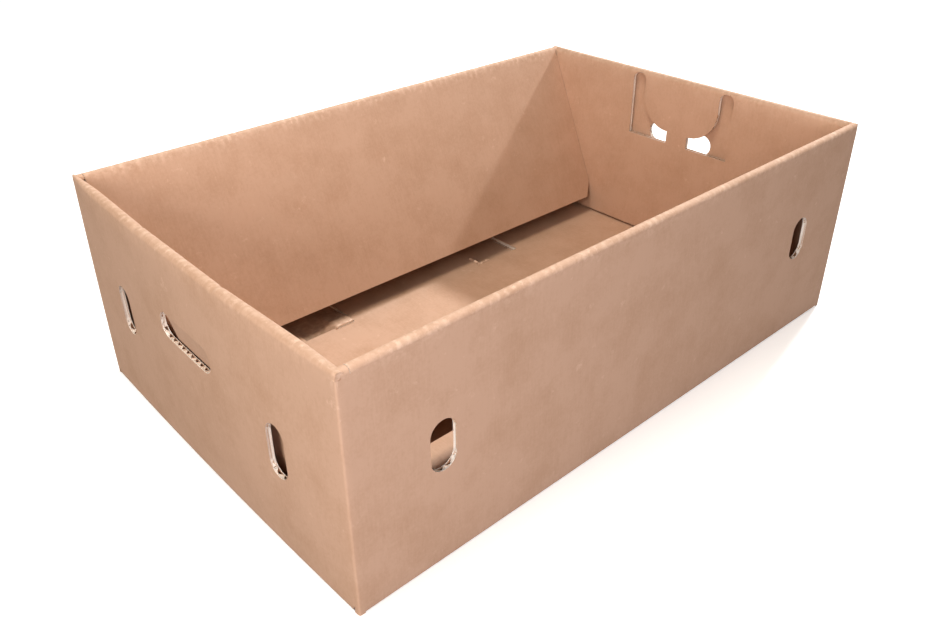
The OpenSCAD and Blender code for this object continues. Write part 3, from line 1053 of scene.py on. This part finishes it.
def seen_directly(tree):
    """1 where the camera sees a surface, directly or in something that shines or is clear, otherwise 0."""
    ray = tree.nodes.new("ShaderNodeLightPath")
    total = ray.outputs["Is Camera Ray"]
    for kind in ("Is Glossy Ray", "Is Transmission Ray"):
        both = tree.nodes.new("ShaderNodeMath")
        both.operation = "MAXIMUM"
        tree.links.new(total, both.inputs[0])
        tree.links.new(ray.outputs[kind], both.inputs[1])
        total = both.outputs["Value"]
    return total


# Floor, white to the camera and dim in what it reflects onto the walls
FLOOR_SIZE = 30
FLOOR_ROUGH = 0.9
FLOOR_GLOW = 0.3
FLOOR_DIM = (0.15, 0.15, 0.15, 1)
FLOOR_PALE = (0.95, 0.95, 0.95, 1)
WHITE = (1, 1, 1, 1)
floor_material, floor_shader, floor_add, floor_links = node_tree("pale_floor")
floor_shader.inputs["Roughness"].default_value = FLOOR_ROUGH
floor_ray = seen_directly(floor_material.node_tree)
floor_tone = floor_add("ShaderNodeMix", data_type="RGBA")
floor_tone.inputs[6].default_value = FLOOR_DIM
floor_tone.inputs[7].default_value = FLOOR_PALE
floor_links.new(floor_ray, floor_tone.inputs[0])
floor_links.new(floor_tone.outputs[2], floor_shader.inputs["Base Color"])
floor_glow = floor_add("ShaderNodeMath", operation="MULTIPLY")
floor_glow.inputs[1].default_value = FLOOR_GLOW
floor_links.new(floor_ray, floor_glow.inputs[0])
floor_links.new(floor_glow.outputs["Value"], floor_shader.inputs["Emission Strength"])
floor_shader.inputs["Emission Color"].default_value = WHITE
bpy.ops.mesh.primitive_plane_add(size=FLOOR_SIZE)
floor = bpy.context.object
floor.name = "floor"
floor.data.materials.append(floor_material)

# Camera, fitted to the outer edges in the photograph
IMAGE_W = 930
SENSOR_W = 36
CLIP_START = 0.01
FOCAL_PX = 873.8
CAMERA_AT = Vector((-0.5079, -0.539, 0.4829))
CAMERA_AZIMUTH = math.radians(-41.634)
CAMERA_ELEVATION = math.radians(31.424)
CAMERA_ROLL = math.radians(-0.633)
back = Vector((
    math.sin(CAMERA_AZIMUTH) * math.cos(CAMERA_ELEVATION),
    -math.cos(CAMERA_AZIMUTH) * math.cos(CAMERA_ELEVATION),
    math.sin(CAMERA_ELEVATION),
))
camera_data = bpy.data.cameras.new("camera")
camera_data.sensor_width = SENSOR_W
camera_data.lens = FOCAL_PX / IMAGE_W * SENSOR_W
camera_data.clip_start = CLIP_START
camera = bpy.data.objects.new("camera", camera_data)
turn = (-back).to_track_quat("-Z", "Y").to_matrix() @ Matrix.Rotation(CAMERA_ROLL, 3, "Z")
camera.matrix_world = Matrix.Translation(CAMERA_AT) @ turn.to_4x4()
bpy.context.scene.collection.objects.link(camera)
bpy.context.scene.camera = camera


def softbox(name, at, aim, size, power, colour):
    """Area lamp at a point, turned to another; size is its width and height."""
    data = bpy.data.lights.new(name, "AREA")
    data.shape = "RECTANGLE"
    data.size, data.size_y = size
    data.energy = power
    data.color = colour
    lamp = bpy.data.objects.new(name, data)
    lamp.location = at
    lamp.rotation_euler = (Vector(aim) - Vector(at)).to_track_quat("-Z", "Y").to_euler()
    bpy.context.scene.collection.objects.link(lamp)


# Lamps: name, place, aim, width and height, power and colour
LAMPS = (
    ("key", (2.3, 0.42, 1.6), (0, 0, 0.1), (0.4, 0.12), 88, (0.97, 1.0, 1.03)),
    ("left_fill", (-1.35, -0.6, 0.62), (-0.3, -0.1, 0.1), (0.6, 0.6), 10.8, (1.0, 0.93, 0.87)),
    ("front_fill", (-0.5, -1.0, 0.3), (-0.1, -0.2, 0.1), (0.4, 0.4), 4.2, (1.0, 0.94, 0.99)),
    ("top", (-0.5, 0.0, 2.1), (0, 0, 0), (0.6, 0.6), 19, (1.0, 0.93, 0.8)),
)
for lamp in LAMPS:
    softbox(*lamp)

# World, white to the camera and dim as a light
WORLD_DIM = (0.27, 0.26, 0.245, 1)
world = bpy.data.worlds.new("studio")
world.use_nodes = True
sky = world.node_tree.nodes["Background"]
tone = world.node_tree.nodes.new("ShaderNodeMix")
tone.data_type = "RGBA"
tone.inputs[6].default_value = WORLD_DIM
tone.inputs[7].default_value = WHITE
world.node_tree.links.new(seen_directly(world.node_tree), tone.inputs[0])
world.node_tree.links.new(tone.outputs[2], sky.inputs["Color"])
bpy.context.scene.world = world
bpy.context.scene.view_settings.view_transform = "Standard"
